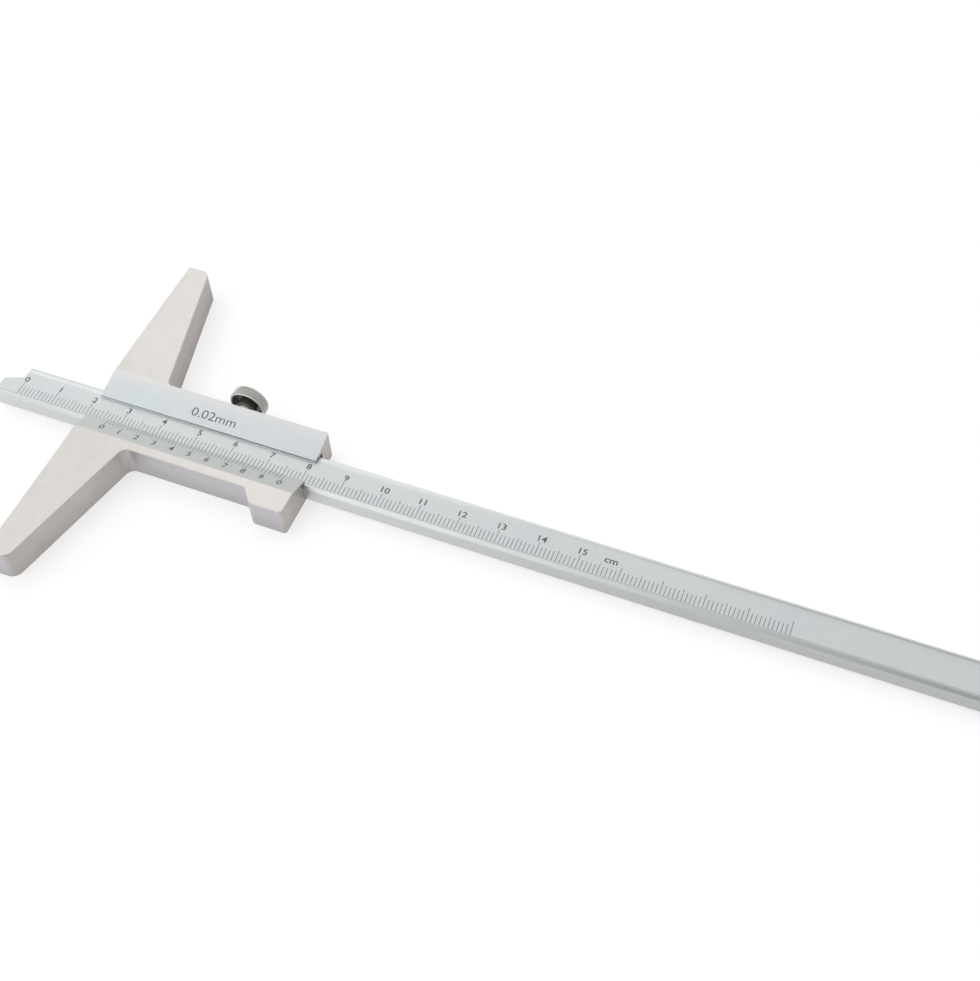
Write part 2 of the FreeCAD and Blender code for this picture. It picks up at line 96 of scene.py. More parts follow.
class Wiring:
    """A short way to place and join the nodes of one tree."""

    MIX_COLOURS = (6, 7)
    MIX_RESULT = 2

    def __init__(self, tree: NodeTree) -> None:
        """Take the tree to work in."""
        self.tree = tree

    def join(self, source: object, target: NodeSocket) -> None:
        """Feed a socket from another one, or set it to a value.

        Args:
            source: an output socket, a number, or a colour.
            target: the input socket.
        """
        if isinstance(source, NodeSocket):
            self.tree.links.new(source, target)
        elif target.type == "RGBA" and len(source) == 3:
            target.default_value = (*source, 1.0)
        else:
            target.default_value = source

    def plug(self, node: Node, sources: Dict[str, object]) -> None:
        """Feed several inputs of a node."""
        for label, source in sources.items():
            self.join(source, node.inputs[label])

    def add(self, kind: str, *sources: object, **settings: object) -> Node:
        """Place a node and feed its first inputs.

        Args:
            kind: the node's type name.
            sources: what feeds its inputs, in order.
            settings: attributes to set on it.

        Returns:
            The new node.
        """
        node = self.tree.nodes.new(kind)
        for name, setting in settings.items():
            setattr(node, name, setting)
        for socket, source in zip(node.inputs, sources):
            self.join(source, socket)
        return node

    def maths(self, operation: str, *inputs: object, clamp: bool = False) -> NodeSocket:
        """Place a Math node."""
        return self.add("ShaderNodeMath", *inputs, operation=operation, use_clamp=clamp).outputs[0]

    def product(self, *masks: object) -> NodeSocket:
        """Multiply masks.

        Args:
            masks: sockets or numbers, two at least.

        Returns:
            The product's socket.
        """
        result = masks[0]
        for mask in masks[1:]:
            result = self.maths("MULTIPLY", result, mask)
        return result

    def scaled(self, vector: object, factor: object) -> NodeSocket:
        """Multiply a vector or a colour by a number.

        Args:
            vector: the vector or colour.
            factor: the number or its socket.

        Returns:
            The scaled one's socket.
        """
        node = self.add("ShaderNodeVectorMath", vector, operation="SCALE")
        self.join(factor, node.inputs["Scale"])
        return node.outputs[0]

    def blend(self, share: object, first: object, second: object) -> NodeSocket:
        """Mix two colours.

        Args:
            share: how much of the second, from 0 to 1.
            first: the colour at 0.
            second: the colour at 1.

        Returns:
            The mixed colour's socket.
        """
        node = self.add("ShaderNodeMix", share, data_type="RGBA")
        for place, colour in zip(self.MIX_COLOURS, (first, second)):
            self.join(colour, node.inputs[place])
        return node.outputs[self.MIX_RESULT]

    def spread(
        self, source: object, low: float, high: float, to_low: object = 0.0, to_high: object = 1.0
    ) -> NodeSocket:
        """Place a clamped Map Range node."""
        return self.add("ShaderNodeMapRange", source, low, high, to_low, to_high).outputs[0]

    def step(self, source: object, middle: float, soft: float) -> NodeSocket:
        """Make a mask that rises from 0 to 1, or falls where soft is negative."""
        return self.spread(source, middle - soft, middle + soft)

    def noise(self, vector: object, scale: float, detail: float, rough: float = 0.5) -> NodeSocket:
        """Place a Noise Texture.

        Args:
            vector: its coordinates.
            scale: its scale.
            detail: its number of octaves.
            rough: how strong the fine octaves are.

        Returns:
            Its factor's socket.
        """
        node = self.add("ShaderNodeTexNoise", vector)
        self.plug(node, {"Scale": scale, "Detail": detail, "Roughness": rough})
        return node.outputs["Fac"]

    def coordinate(self, space: str = "Object") -> NodeSocket:
        """Find a texture coordinate."""
        return self.add("ShaderNodeTexCoord").outputs[space]

    def axes(self, space: str = "Object") -> Tuple[NodeSocket, ...]:
        """Split a texture coordinate."""
        return tuple(self.add("ShaderNodeSeparateXYZ", self.coordinate(space)).outputs)

    def close(self, **outputs: NodeSocket) -> NodeTree:
        """Give a node group its outputs.

        Args:
            outputs: what feeds each one, by its name.

        Returns:
            The group.
        """
        for label, source in outputs.items():
            kind = "NodeSocketVector" if source.type == "VECTOR" else "NodeSocketFloat"
            self.tree.interface.new_socket(label, in_out="OUTPUT", socket_type=kind)
        self.plug(self.add("NodeGroupOutput"), outputs)
        return self.tree


def start_group(name: str, label: str, kind: str, default: object) -> Tuple[Wiring, NodeSocket]:
    """Start a shader node group with one input.

    Args:
        name: the group's name.
        label: the input's name.
        kind: its socket type.
        default: its default value.

    Returns:
        The group's wiring, and what the input gives inside.
    """
    group = bpy.data.node_groups.new(name, "ShaderNodeTree")
    group.interface.new_socket(label, in_out="INPUT", socket_type=kind).default_value = default
    wire = Wiring(group)
    return wire, wire.add("NodeGroupInput").outputs[0]


def new_material(name: str) -> Tuple[Material, Node]:
    """Start a material.

    Args:
        name: its name.

    Returns:
        The material and its shader node.
    """
    material = bpy.data.materials.new(name)
    material.use_nodes = True
    return material, material.node_tree.nodes["Principled BSDF"]


class SharedEffects:
    """The node groups that several finishes share, each built once."""

    GRAIN_DETAIL = 3.0
    GRAIN_ROUGH = 0.65
    SCRATCH_SCALE = 0.31
    SCRATCH_DETAIL = 1.0
    SCRATCH_SPAN = (0.69, 0.74)
    SCRATCH_HEIGHT = -0.6
    CLOUD_SCALE = 60.0
    CLOUD_DETAIL = 2.0
    CLOUD_SPAN = (0.3, 0.7)
    SMUDGE_SCALE = 6.5
    SMUDGE_DETAIL = 4.0
    SMUDGE_ROUGH = 0.6
    SMUDGE_SPAN = (0.48, 0.72)
    EDGE_RADIUS = 0.15 * MM
    EDGE_SAMPLES = 6
    EDGE_SPAN = (0.995, 0.9)

    def __init__(self) -> None:
        """Build every group."""
        self.grain = self.build_grain()
        self.patina = self.build_patina()
        self.edges = self.build_edges()

    def build_grain(self) -> NodeTree:
        """Fine parallel grinding marks along one axis, crossed by a few longer scratches.

        Returns:
            The group: a stretch vector in, a mask and a height out.
        """
        wire, stretch = start_group("grinding_grain", "Stretch", "NodeSocketVector", (1.0, 1.0, 1.0))
        place = wire.add("ShaderNodeVectorMath", wire.coordinate(), stretch, operation="MULTIPLY").outputs[0]
        fine = wire.noise(place, 1.0, self.GRAIN_DETAIL, self.GRAIN_ROUGH)
        scratch = wire.noise(place, self.SCRATCH_SCALE, self.SCRATCH_DETAIL)
        scratch = wire.spread(scratch, *self.SCRATCH_SPAN)
        return wire.close(Mask=fine, Height=wire.maths("MULTIPLY_ADD", scratch, self.SCRATCH_HEIGHT, fine))

    def build_patina(self) -> NodeTree:
        """Broad, soft clouds of tone with fine handling marks in them.

        Returns:
            The group: a scale in, a cloud mask and a smudge mask out.
        """
        wire, scale = start_group("handling_patina", "Scale", "NodeSocketFloat", self.CLOUD_SCALE)
        place = wire.scaled(wire.coordinate(), scale)
        cloud = wire.noise(place, 1.0, self.CLOUD_DETAIL)
        smudge = wire.noise(place, self.SMUDGE_SCALE, self.SMUDGE_DETAIL, self.SMUDGE_ROUGH)
        return wire.close(
            Cloud=wire.spread(cloud, *self.CLOUD_SPAN), Smudge=wire.spread(smudge, *self.SMUDGE_SPAN)
        )

    def build_edges(self) -> NodeTree:
        """A narrow mask along sharp edges, where wear and a painted highlight lighten the colour, and the
        softened normal that makes it.

        Returns:
            The group: a radius in, the edge mask and the softened normal out.
        """
        wire, radius = start_group("worn_and_highlighted_edges", "Radius", "NodeSocketFloat", self.EDGE_RADIUS)
        soft = wire.add("ShaderNodeBevel", radius, samples=self.EDGE_SAMPLES).outputs[0]
        flat = wire.add("ShaderNodeNewGeometry").outputs["True Normal"]
        dot = wire.add("ShaderNodeVectorMath", soft, flat, operation="DOT_PRODUCT").outputs["Value"]
        return wire.close(Edge=wire.spread(dot, *self.EDGE_SPAN), Normal=soft)


class Canvas(Wiring):
    """One metal's wiring, with the effects, places and directions that its colours follow."""

    def __init__(self, tree: NodeTree, effects: SharedEffects) -> None:
        """Place the shared effects and find the piece's own axes.

        Args:
            tree: the material's node tree.
            effects: the shared node groups.
        """
        super().__init__(tree)
        self.grain = self.add("ShaderNodeGroup", node_tree=effects.grain)
        self.patina = self.add("ShaderNodeGroup", node_tree=effects.patina)
        self.edges = self.add("ShaderNodeGroup", node_tree=effects.edges)
        self.cloud = self.patina.outputs["Cloud"]
        self.x, self.y, self.z = self.axes()
        self.facing_x, _, self.facing_z = self.axes("Normal")


@dataclass(frozen=True)
class MetalFinish:
    """A satin metal: two tones on faces that look up, another on its upright sides, whose difference from the
    top is painted light and shade.

    Attributes:
        name: the material's name.
        up: main colour of faces that look up or down.
        cloud: colour of the soft clouds in it.
        side: colour of upright faces; how far it differs from the top colour is painted light and shade.
        edge: colour along its edges, partly wear and partly a painted highlight.
        metallic: how metallic it is.
        rough: roughness of the faces.
        stretch: waves per metre of the grain along X, Y and Z.
        grain: how strongly the grain shows in colour.
        bump: height of the grain in metres.
        edge_radius: width of the softened edge in metres.
    """

    name: str
    up: Colour
    cloud: Colour
    side: Colour
    edge: Colour
    metallic: float = 0.95
    rough: float = 0.42
    stretch: Triple = (300.0, 9000.0, 9000.0)
    grain: float = 0.04
    bump: float = 0.004 * MM
    edge_radius: float = 0.14 * MM

    UPRIGHT_SPAN = (0.6, 0.25)
    GRAIN_SPAN = (0.3, 0.7)
    SMUDGE_TONE = -0.02
    EDGE_WEAR = 0.7
    SMUDGE_GLOSS = 0.03
    GRAIN_GLOSS = 0.10
    EDGE_GLOSS = -0.12
    BUMP_STRENGTH = 0.35

    def colour_on_top(self, wire: Canvas) -> NodeSocket:
        """Colour of the faces that look up or down."""
        return wire.blend(wire.cloud, self.up, self.cloud)

    def colour_on_sides(self, wire: Canvas) -> object:
        """Colour of the upright faces, which carries their painted shade."""
        return self.side

    def colour_of_all(self, wire: Canvas, base: NodeSocket) -> NodeSocket:
        """Give a finish the chance to change the colour of the whole piece."""
        return base

    def surface_of_all(self, wire: Canvas, gloss: NodeSocket) -> Tuple[object, object]:
        """Give a finish the chance to be less metallic, or rougher, in places."""
        return self.metallic, gloss

    def build(self, effects: SharedEffects) -> Material:
        """Make the material.

        Args:
            effects: the shared node groups.

        Returns:
            The finished material.
        """
        material, shader = new_material(self.name)
        wire = Canvas(material.node_tree, effects)
        wire.plug(wire.grain, {"Stretch": self.stretch})
        wire.plug(wire.edges, {"Radius": self.edge_radius})
        mask, edge = wire.grain.outputs["Mask"], wire.edges.outputs["Edge"]
        smudge = wire.patina.outputs["Smudge"]

        # Painted light and shade: upright faces take the side colour, faces that look up or down the top
        # colour.
        upright = wire.spread(wire.maths("ABSOLUTE", wire.facing_z), *self.UPRIGHT_SPAN)
        base = wire.blend(upright, self.colour_on_top(wire), self.colour_on_sides(wire))
        streaked = wire.spread(mask, *self.GRAIN_SPAN, 1.0 - self.grain, 1.0 + self.grain)
        tone = wire.product(streaked, wire.maths("MULTIPLY_ADD", smudge, self.SMUDGE_TONE, 1.0))
        toned = wire.scaled(self.colour_of_all(wire, base), tone)
        # Edges lighten: partly wear, partly a painted highlight.
        colour = wire.blend(wire.product(edge, self.EDGE_WEAR), toned, self.edge)

        gloss = wire.maths("MULTIPLY_ADD", smudge, self.SMUDGE_GLOSS, self.rough)
        gloss = wire.maths("MULTIPLY_ADD", mask, self.GRAIN_GLOSS, gloss)
        gloss = wire.maths("MULTIPLY_ADD", edge, self.EDGE_GLOSS, gloss)
        metal, gloss = self.surface_of_all(wire, gloss)
        bump = wire.add("ShaderNodeBump")
        wire.plug(bump, {
            "Distance": self.bump, "Strength": self.BUMP_STRENGTH,
            "Height": wire.grain.outputs["Height"], "Normal": wire.edges.outputs["Normal"],
        })
        wire.plug(shader, {
            "Base Color": colour, "Metallic": metal, "Roughness": gloss, "Normal": bump.outputs[0],
        })
        return material


@dataclass(frozen=True, kw_only=True)
class FrameFinish(MetalFinish):
    """The base frame's finish: warm ground steel, with cooler satin chrome on the two bevels.

    Attributes:
        rear_bevel: colour of the rear bevel.
        rear_tint: colour of the soft clouds in it.
        rear_edge: colour that it takes on along the frame's rear edge.
        front_bevel: colour of the bevel with the vernier.
        ahead: colour of the upright faces that look to +X, warmer, and darker as painted shade.
        ahead_cloud: colour of the soft clouds in it.
        ahead_span: how far a face looks to +X where that begins, and where it is whole.
        lip_line: colour of the painted shadow line along the rear lip's edge.
        lip_start: colour that this painted shadow fades to towards the measuring face.
        lip_span: X where it is whole and where it has faded, in metres.
        lip_face: colour of the lip's thin face under that line, painted near white to lighten the shade on
            it.
        lip_metallic: how metallic that face is.
        lip_margin: how far the masks reach past the lip, in metres.
        front_crease: Y of the front bevel's upper edge, in metres.
        rear_lip: Y of the rear lip's face, and of the painted shadow line's end on the bevel.
        rear_crease: Y of the rear bevel's upper edge.
        crease_soft: half the width of the change of finish at both.
        bevel_floor: height above which a face between the creases is a bevel.
        lip_dark: height above which the lip carries the painted shadow line.
        side_height: height up to which the sides are darker with painted shade, and by how much at the
            bottom.
        patch_reach: how far the clouds move the change of tone along the wings, in metres.
        patch_span: sum of X and Y where that change begins and ends, in metres.
    """

    rear_bevel: Colour
    rear_tint: Colour
    rear_edge: Colour
    front_bevel: Colour
    ahead: Colour
    ahead_cloud: Colour
    ahead_span: Pair = (0.35, 0.7)
    lip_line: Colour
    lip_start: Colour
    lip_span: Pair = (0.034, 0.004)
    lip_face: Colour
    lip_metallic: float = 0.1
    lip_margin: float = 0.01 * MM
    front_crease: float = -9.05 * MM
    rear_lip: Pair = (2.5 * MM, 2.74 * MM)
    rear_crease: float = 10.6 * MM
    crease_soft: float = 0.1 * MM
    bevel_floor: float = 6.3 * MM
    lip_dark: float = 6.68 * MM
    side_height: Pair = (5.5 * MM, 0.84)
    patch_reach: float = 0.016
    patch_span: Pair = (0.052, 0.01)

    def colour_on_top(self, wire: Canvas) -> NodeSocket:
        """Colour of the faces that look up, with the bevels picked out.

        Args:
            wire: the material's wiring.

        Returns:
            The colour's socket.
        """
        bevel = wire.product(
            wire.step(wire.y, self.front_crease, self.crease_soft),
            wire.step(wire.y, self.rear_crease, -self.crease_soft),
            wire.maths("GREATER_THAN", wire.z, self.bevel_floor),
        )
        rise = wire.spread(wire.y, self.rear_crease / 2, self.rear_crease)
        back = wire.blend(wire.cloud, self.rear_bevel, self.rear_tint)
        back = wire.blend(wire.product(rise, rise), back, self.rear_edge)
        chrome = wire.blend(wire.maths("GREATER_THAN", wire.y, 0.0), self.front_bevel, back)
        across = wire.maths("ADD", wire.x, wire.y)
        patchy = wire.maths("MULTIPLY_ADD", wire.cloud, self.patch_reach, across)
        ground = wire.blend(wire.spread(patchy, *self.patch_span), self.up, self.cloud)
        return wire.blend(bevel, ground, chrome)

    def colour_on_sides(self, wire: Canvas) -> object:
        """Colour of the upright faces: warmer, and darker with painted shade, where they look to +X."""
        warm = wire.blend(wire.cloud, self.ahead, self.ahead_cloud)
        return wire.blend(wire.spread(wire.facing_x, *self.ahead_span), self.side, warm)

    def colour_of_all(self, wire: Canvas, base: NodeSocket) -> NodeSocket:
        """Darken the foot of the sides with painted shade, paint the shadow line along the rear lip, and
        paint the lip's thin face lighter.

        Args:
            wire: the material's wiring.
            base: the metal's colour.

        Returns:
            The colour's socket.
        """
        # Painted shade: the sides darken towards the floor.
        foot = wire.spread(wire.z, 0.0, *self.side_height)
        # Painted shadow: a dark line along the rear lip's edge, fading towards the measuring face.
        dark = wire.maths("GREATER_THAN", wire.z, self.lip_dark)
        # Painted light: the lip's thin face is painted near white so that it does not read as shade.
        face = wire.product(self.on_lip(wire, self.rear_lip[0]), wire.maths("SUBTRACT", 1.0, dark))
        line = wire.product(self.on_lip(wire, self.rear_lip[1]), dark)
        lip_shadow = wire.blend(wire.spread(wire.x, *self.lip_span), self.lip_line, self.lip_start)
        return wire.blend(line, wire.blend(face, wire.scaled(base, foot), self.lip_face), lip_shadow)

    def on_lip(self, wire: Canvas, end: float) -> NodeSocket:
        """Find what lies from the rear lip's face to a given Y."""
        low = self.rear_lip[0] - 2 * self.lip_margin
        return wire.maths("COMPARE", wire.y, (low + end) / 2, (end - low) / 2 + self.lip_margin)

    def surface_of_all(self, wire: Canvas, gloss: NodeSocket) -> Tuple[object, object]:
        """Make the lip's thin face matt."""
        lip = self.on_lip(wire, self.rear_lip[0])
        return wire.spread(lip, 0.0, 1.0, self.metallic, self.lip_metallic), gloss


@dataclass(frozen=True, kw_only=True)
class BeamFinish(MetalFinish):
    """The beam's finish: polished borders beside a frosted band that holds the scale.

    Attributes:
        frost: colour of the frosted band.
        frost_cloud: colour of the soft clouds in it.
        frost_metal: how metallic the band is.
        frost_rough: its roughness.
        band: Y of its two edges, in metres.
        band_soft: half the width of its front edge, and a quarter of its rear one.
        band_fade: Y where it begins to fade, Y where that ends, and what is left there.
        band_floor: height above which a face in the band is frosted.
        foot_ink: colour of the fine line along the band's foot.
        foot_line: Y of its middle and half its width, in metres.
        rear_ink: colour of the fine line beside the rear chamfer, which grows towards +X.
        rear_line: Y of its middle and half its width, in metres.
        rear_start: X where it begins and where it is whole, in metres.
        chamfer_near: colour of the rear chamfer at the measuring end, a painted darker reflection.
        chamfer_far: its colour further on, a painted highlight.
        chamfer_start: X where the one begins to turn into the other and where it has.
        chamfer_place: Y where the rear chamfer begins, in metres.
    """

    frost: Colour
    frost_cloud: Colour
    frost_metal: float = 0.48
    frost_rough: float = 0.5
    band: Pair = (-4.0 * MM, 3.5 * MM)
    band_soft: float = 0.12 * MM
    band_fade: Triple = (1.7 * MM, 3.26 * MM, 0.8)
    band_floor: float = 6.0 * MM
    foot_ink: Colour
    foot_line: Pair = (-3.92 * MM, 0.16 * MM)
    rear_ink: Colour
    rear_line: Pair = (4.06 * MM, 0.17 * MM)
    rear_start: Pair = (0.1, 0.17)
    chamfer_near: Colour
    chamfer_far: Colour
    chamfer_start: Pair = (-0.01, 0.18)
    chamfer_place: float = 4.25 * MM

    def in_band(self, wire: Canvas) -> NodeSocket:
        """Find the frosted band.

        Args:
            wire: the material's wiring.

        Returns:
            A mask that is 1 in the band.
        """
        start, end, left = self.band_fade
        return wire.product(
            wire.step(wire.y, self.band[0], self.band_soft),
            wire.spread(wire.y, start, end, 1.0, left),
            wire.step(wire.y, self.band[1], -2 * self.band_soft),
            wire.maths("GREATER_THAN", wire.z, self.band_floor),
        )

    def colour_on_top(self, wire: Canvas) -> NodeSocket:
        """Colour of the graduated face, with its band, its fine lines and the rear chamfer's painted
        reflection.

        Args:
            wire: the material's wiring.

        Returns:
            The colour's socket.
        """
        polished = wire.blend(wire.cloud, self.up, self.cloud)
        frosted = wire.blend(wire.cloud, self.frost, self.frost_cloud)
        face = wire.blend(self.in_band(wire), polished, frosted)
        face = wire.blend(wire.maths("COMPARE", wire.y, *self.foot_line), face, self.foot_ink)
        rear = wire.maths("COMPARE", wire.y, *self.rear_line)
        rear = wire.product(rear, wire.spread(wire.x, *self.rear_start))
        face = wire.blend(rear, face, self.rear_ink)
        # Painted reflection: the rear chamfer turns from darker at the measuring end to a bright painted
        # highlight further on.
        further = wire.spread(wire.x, *self.chamfer_start)
        chamfer = wire.blend(further, self.chamfer_near, self.chamfer_far)
        return wire.blend(wire.maths("GREATER_THAN", wire.y, self.chamfer_place), face, chamfer)

    def surface_of_all(self, wire: Canvas, gloss: NodeSocket) -> Tuple[object, object]:
        """Make the band less metallic and rougher.

        Args:
            wire: the material's wiring.
            gloss: the metal's roughness.

        Returns:
            How metallic it is, and its roughness.
        """
        band = self.in_band(wire)
        metal = wire.spread(band, 0.0, 1.0, self.metallic, self.frost_metal)
        return metal, wire.maths("MULTIPLY_ADD", band, self.frost_rough - self.rough, gloss)


@dataclass(frozen=True, kw_only=True)
class KnurlFinish(MetalFinish):
    """Knurled metal with painted shade in its grooves, found by their distance from the axis.

    Attributes:
        axis_x: X of the screw's axis.
        axis_z: Z of the screw's axis.
        groove_radius: distance of the grooves from it.
        groove_margin: how far inside them the painted shade begins.
        crest_radius: distance from the axis at which the painted shade ends.
        groove: painted shade colour in the grooves.
        flat: colour of the faces that look along the axis, darker as painted shade.
        rim_span: how far a face looks to X where it is still flat, and where it is rim.
    """

    axis_x: float
    axis_z: float
    groove_radius: float
    groove_margin: float = 0.02 * MM
    crest_radius: float
    groove: Colour
    flat: Colour
    rim_span: Pair = (0.15, 0.3)

    def colour_on_sides(self, wire: Canvas) -> object:
        """Colour of the upright faces: plainer and darker, as painted shade, where they look along the axis.
        """
        rim = wire.spread(wire.maths("ABSOLUTE", wire.facing_x), *self.rim_span)
        return wire.blend(rim, self.flat, self.side)

    def colour_of_all(self, wire: Canvas, base: NodeSocket) -> NodeSocket:
        """Darken the grooves with painted shade.

        Args:
            wire: the material's wiring.
            base: the metal's colour.

        Returns:
            The colour's socket.
        """
        # Painted shade in the knurl's grooves.
        across = wire.maths("SUBTRACT", wire.x, self.axis_x)
        above = wire.maths("SUBTRACT", wire.z, self.axis_z)
        square = wire.maths("MULTIPLY_ADD", across, across, wire.product(above, above))
        reach = wire.maths("SQRT", square)
        deep = wire.spread(reach, self.crest_radius, self.groove_radius)
        beyond = wire.maths("GREATER_THAN", reach, self.groove_radius - self.groove_margin)
        return wire.blend(wire.product(deep, beyond), base, self.groove)


@dataclass(frozen=True)
class PaintFinish:
    """The dark filling of engraved lines and numerals.

    Attributes:
        name: the material's name.
        colour: the paint's colour.
        thin: its colour where the filling is thin.
        faded: how much thinner it is towards -X, from 0 to 1.
    """

    name: str
    colour: Colour
    thin: Colour
    faded: float = 0.0

    FADE_SPAN = (0.02, 0.06)
    FLECK_SCALE = 900.0
    FLECK_DETAIL = 3.0
    FLECK_SPAN = (0.45, 0.75)
    ROUGHNESS = (0.45, 0.65)

    def build(self) -> Material:
        """Make the material.

        Returns:
            The finished material.
        """
        material, shader = new_material(self.name)
        wire = Wiring(material.node_tree)
        faded = wire.spread(wire.axes()[0], *self.FADE_SPAN, self.faded, 0.0)
        flecks = wire.noise(wire.coordinate(), self.FLECK_SCALE, self.FLECK_DETAIL)
        flecks = wire.spread(flecks, *self.FLECK_SPAN)
        worn = wire.maths("ADD", flecks, faded, clamp=True)
        wire.plug(shader, {
            "Base Color": wire.blend(worn, self.colour, self.thin),
            "Roughness": wire.spread(worn, 0.0, 1.0, *self.ROUGHNESS),
        })
        return material


def new_object(name: str, data: bpy.types.ID) -> Object:
    """Put an object into the scene.

    Args:
        name: its name.
        data: its mesh, camera or lamp.

    Returns:
        The new object.
    """
    piece = bpy.data.objects.new(name, data)
    bpy.context.scene.collection.objects.link(piece)
    return piece


def finished_object(name: str, bm: BMesh, material: Material) -> Object:
    """Turn a bmesh into an object at the origin.

    Args:
        name: the object's name.
        bm: its mesh, which is freed.
        material: its material.

    Returns:
        The new object.
    """
    mesh = bpy.data.meshes.new(name)
    bm.to_mesh(mesh)
    bm.free()
    mesh.materials.append(material)
    return new_object(name, mesh)


def dress_node(node: str, material: Material) -> None:
    """Give a CAD node its finish.

    Args:
        node: the node's name.
        material: its material.
    """
    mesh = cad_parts[node].data
    mesh.materials.clear()
    mesh.materials.append(material)
    log.info("dressed %s with %s", node, material.name)


@dataclass(frozen=True)
class Ground:
    """A flat surface that is engraved: where it starts, and its two directions.

    Attributes:
        origin: a point on it, in millimetres.
        along: unit vector in which numbers read.
        up: unit vector towards the top of the numerals.
    """

    origin: Triple
    along: Triple
    up: Triple

    def matrix(self) -> Matrix:
        """Place of the surface in metres, with Z out of it.

        Returns:
            The matrix from the surface's own axes to the object's.
        """
        along = Vector(self.along)
        up = Vector(self.up)
        out = along.cross(up)
        turned = Matrix((along, up, out)).transposed().to_4x4()
        return Matrix.Translation(Vector(self.origin) * MM) @ turned


@dataclass(frozen=True)
class Lettering:
    """How numerals or letters are cut.

    Attributes:
        height: height of a capital or numeral, in millimetres.
        bold: how much each stroke grows, as a share of the height.
        wide: how much wider the letters are than the plain ones.
    """

    height: float
    bold: float
    wide: float


class Engraver:
    """Cuts filled lines and numerals into a ground, as thin inlays that barely stand proud."""

    PROUD = 0.005
    DEEP = 0.03
    CURVE_STEPS = 3
    MERGE = 0.0005

    def __init__(self, name: str, ground: Ground) -> None:
        """Start an empty set of engravings.

        Args:
            name: name of the object that they will make.
            ground: the surface that they are cut into.
        """
        self.name = name
        self.place = ground.matrix()
        self.bm = bmesh.new()

    def line(self, x: float, low: float, high: float, width: float) -> None:
        """Cut one graduation line.

        Args:
            x: where it stands along the ground, in millimetres.
            low: its lower end.
            high: its upper end.
            width: how wide it is.
        """
        centre = Vector((x, (low + high) / 2, (self.PROUD - self.DEEP) / 2))
        middle = Matrix.Translation(centre * MM)
        size = Matrix.Diagonal((width * MM, (high - low) * MM, (self.PROUD + self.DEEP) * MM, 1.0))
        bmesh.ops.create_cube(self.bm, size=1.0, matrix=self.place @ middle @ size)

    def text(self, words: str, x: float, y: float, style: Lettering) -> None:
        """Cut numerals or letters, centred on a point.

        Args:
            words: what to cut.
            x: middle along the ground, in millimetres.
            y: middle up the ground.
            style: how they are cut.
        """
        curve = bpy.data.curves.new(self.name + "_letters", "FONT")
        curve.body = words
        curve.align_x = "CENTER"
        curve.align_y = "CENTER"
        curve.size = style.height / CAPITAL_SHARE
        curve.offset = style.bold * style.height
        curve.extrude = (self.PROUD + self.DEEP) / 2
        curve.resolution_u = self.CURVE_STEPS
        holder = bpy.data.objects.new(self.name + "_letters", curve)
        mesh = bpy.data.meshes.new_from_object(holder)
        shift = Matrix.Translation(Vector((x, y, (self.PROUD - self.DEEP) / 2)) * MM)
        mesh.transform(self.place @ shift @ Matrix.Diagonal((MM * style.wide, MM, MM, 1.0)))
        self.bm.from_mesh(mesh)
        bpy.data.objects.remove(holder)
        bpy.data.curves.remove(curve)
        bpy.data.meshes.remove(mesh)

    def finish(self, material: Material, body: Body, slot: Slot) -> Object:
        """Make the object and set it riding.

        Args:
            material: the filling's material.
            body: the body that carries the ground.
            slot: the record's slot for the piece; not used.

        Returns:
            The new object.
        """
        bmesh.ops.remove_doubles(self.bm, verts=self.bm.verts, dist=self.MERGE * MM)
        bmesh.ops.recalc_face_normals(self.bm, faces=self.bm.faces)
        piece = finished_object(self.name, self.bm, material)
        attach(piece, body.value)
        log.info("%s: %d faces", self.name, len(piece.data.polygons))
        return piece


@dataclass
class DepthBeam:
    """The graduated beam: its satin finish and its millimetre scale, in millimetres.

    Attributes:
        scale_zero: X of the zero line with the beam at rest.
        last_line: the scale's last millimetre.
        last_number: the last numbered centimetre.
        line_foot: lower end of every line.
        short_top: upper end of a millimetre line.
        middle_top: upper end of a 5 mm line.
        long_top: upper end of a centimetre line.
        line_width: width of a line.
        number_place: middle of a numeral, along the scale from its line and across it.
        number_style: how the numerals are cut.
        unit_place: middle of the unit, along the scale and across it.
        unit_style: how it is cut.
    """

    scale_zero: float = -21.08
    last_line: int = 200
    last_number: int = 15
    line_foot: float = -3.72
    short_top: float = -1.12
    middle_top: float = -0.6
    long_top: float = -0.02
    line_width: float = 0.17
    number_place: Pair = (0.07, 1.05)
    number_style: Lettering = Lettering(height=1.62, bold=0.02, wide=1.12)
    unit_place: Pair = (157.13, 0.96)
    unit_style: Lettering = Lettering(height=1.74, bold=0.02, wide=1.13)

    def top_of(self, millimetre: int) -> float:
        """Find the upper end of a line.

        Args:
            millimetre: the line's number.

        Returns:
            Its upper end in millimetres.
        """
        if millimetre % 10 == 0:
            return self.long_top
        return self.middle_top if millimetre % 5 == 0 else self.short_top

    def build(self, steel: Material, paint: Material, fine: Material) -> None:
        """Dress the beam and engrave its scale.

        Args:
            steel: the beam's finish.
            paint: the filling of the numerals.
            fine: the thinner filling of the lines.
        """
        dress_node("depth_beam", steel)
        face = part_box("depth_beam")[1].z / MM
        ground = Ground((self.scale_zero, 0.0, face), (1.0, 0.0, 0.0), (0.0, 1.0, 0.0))
        scale = Engraver("beam_scale", ground)
        for millimetre in range(self.last_line + 1):
            scale.line(millimetre, self.line_foot, self.top_of(millimetre), self.line_width)
        scale.finish(fine, Body.BEAM, Slot.BEAM_CHROME)
        numbers = Engraver("beam_numbers", ground)
        shift, middle = self.number_place
        for centimetre in range(self.last_number + 1):
            numbers.text(str(centimetre), centimetre * 10 + shift, middle, self.number_style)
        numbers.text("cm", *self.unit_place, self.unit_style)
        numbers.finish(paint, Body.BEAM, Slot.BEAM_CHROME)


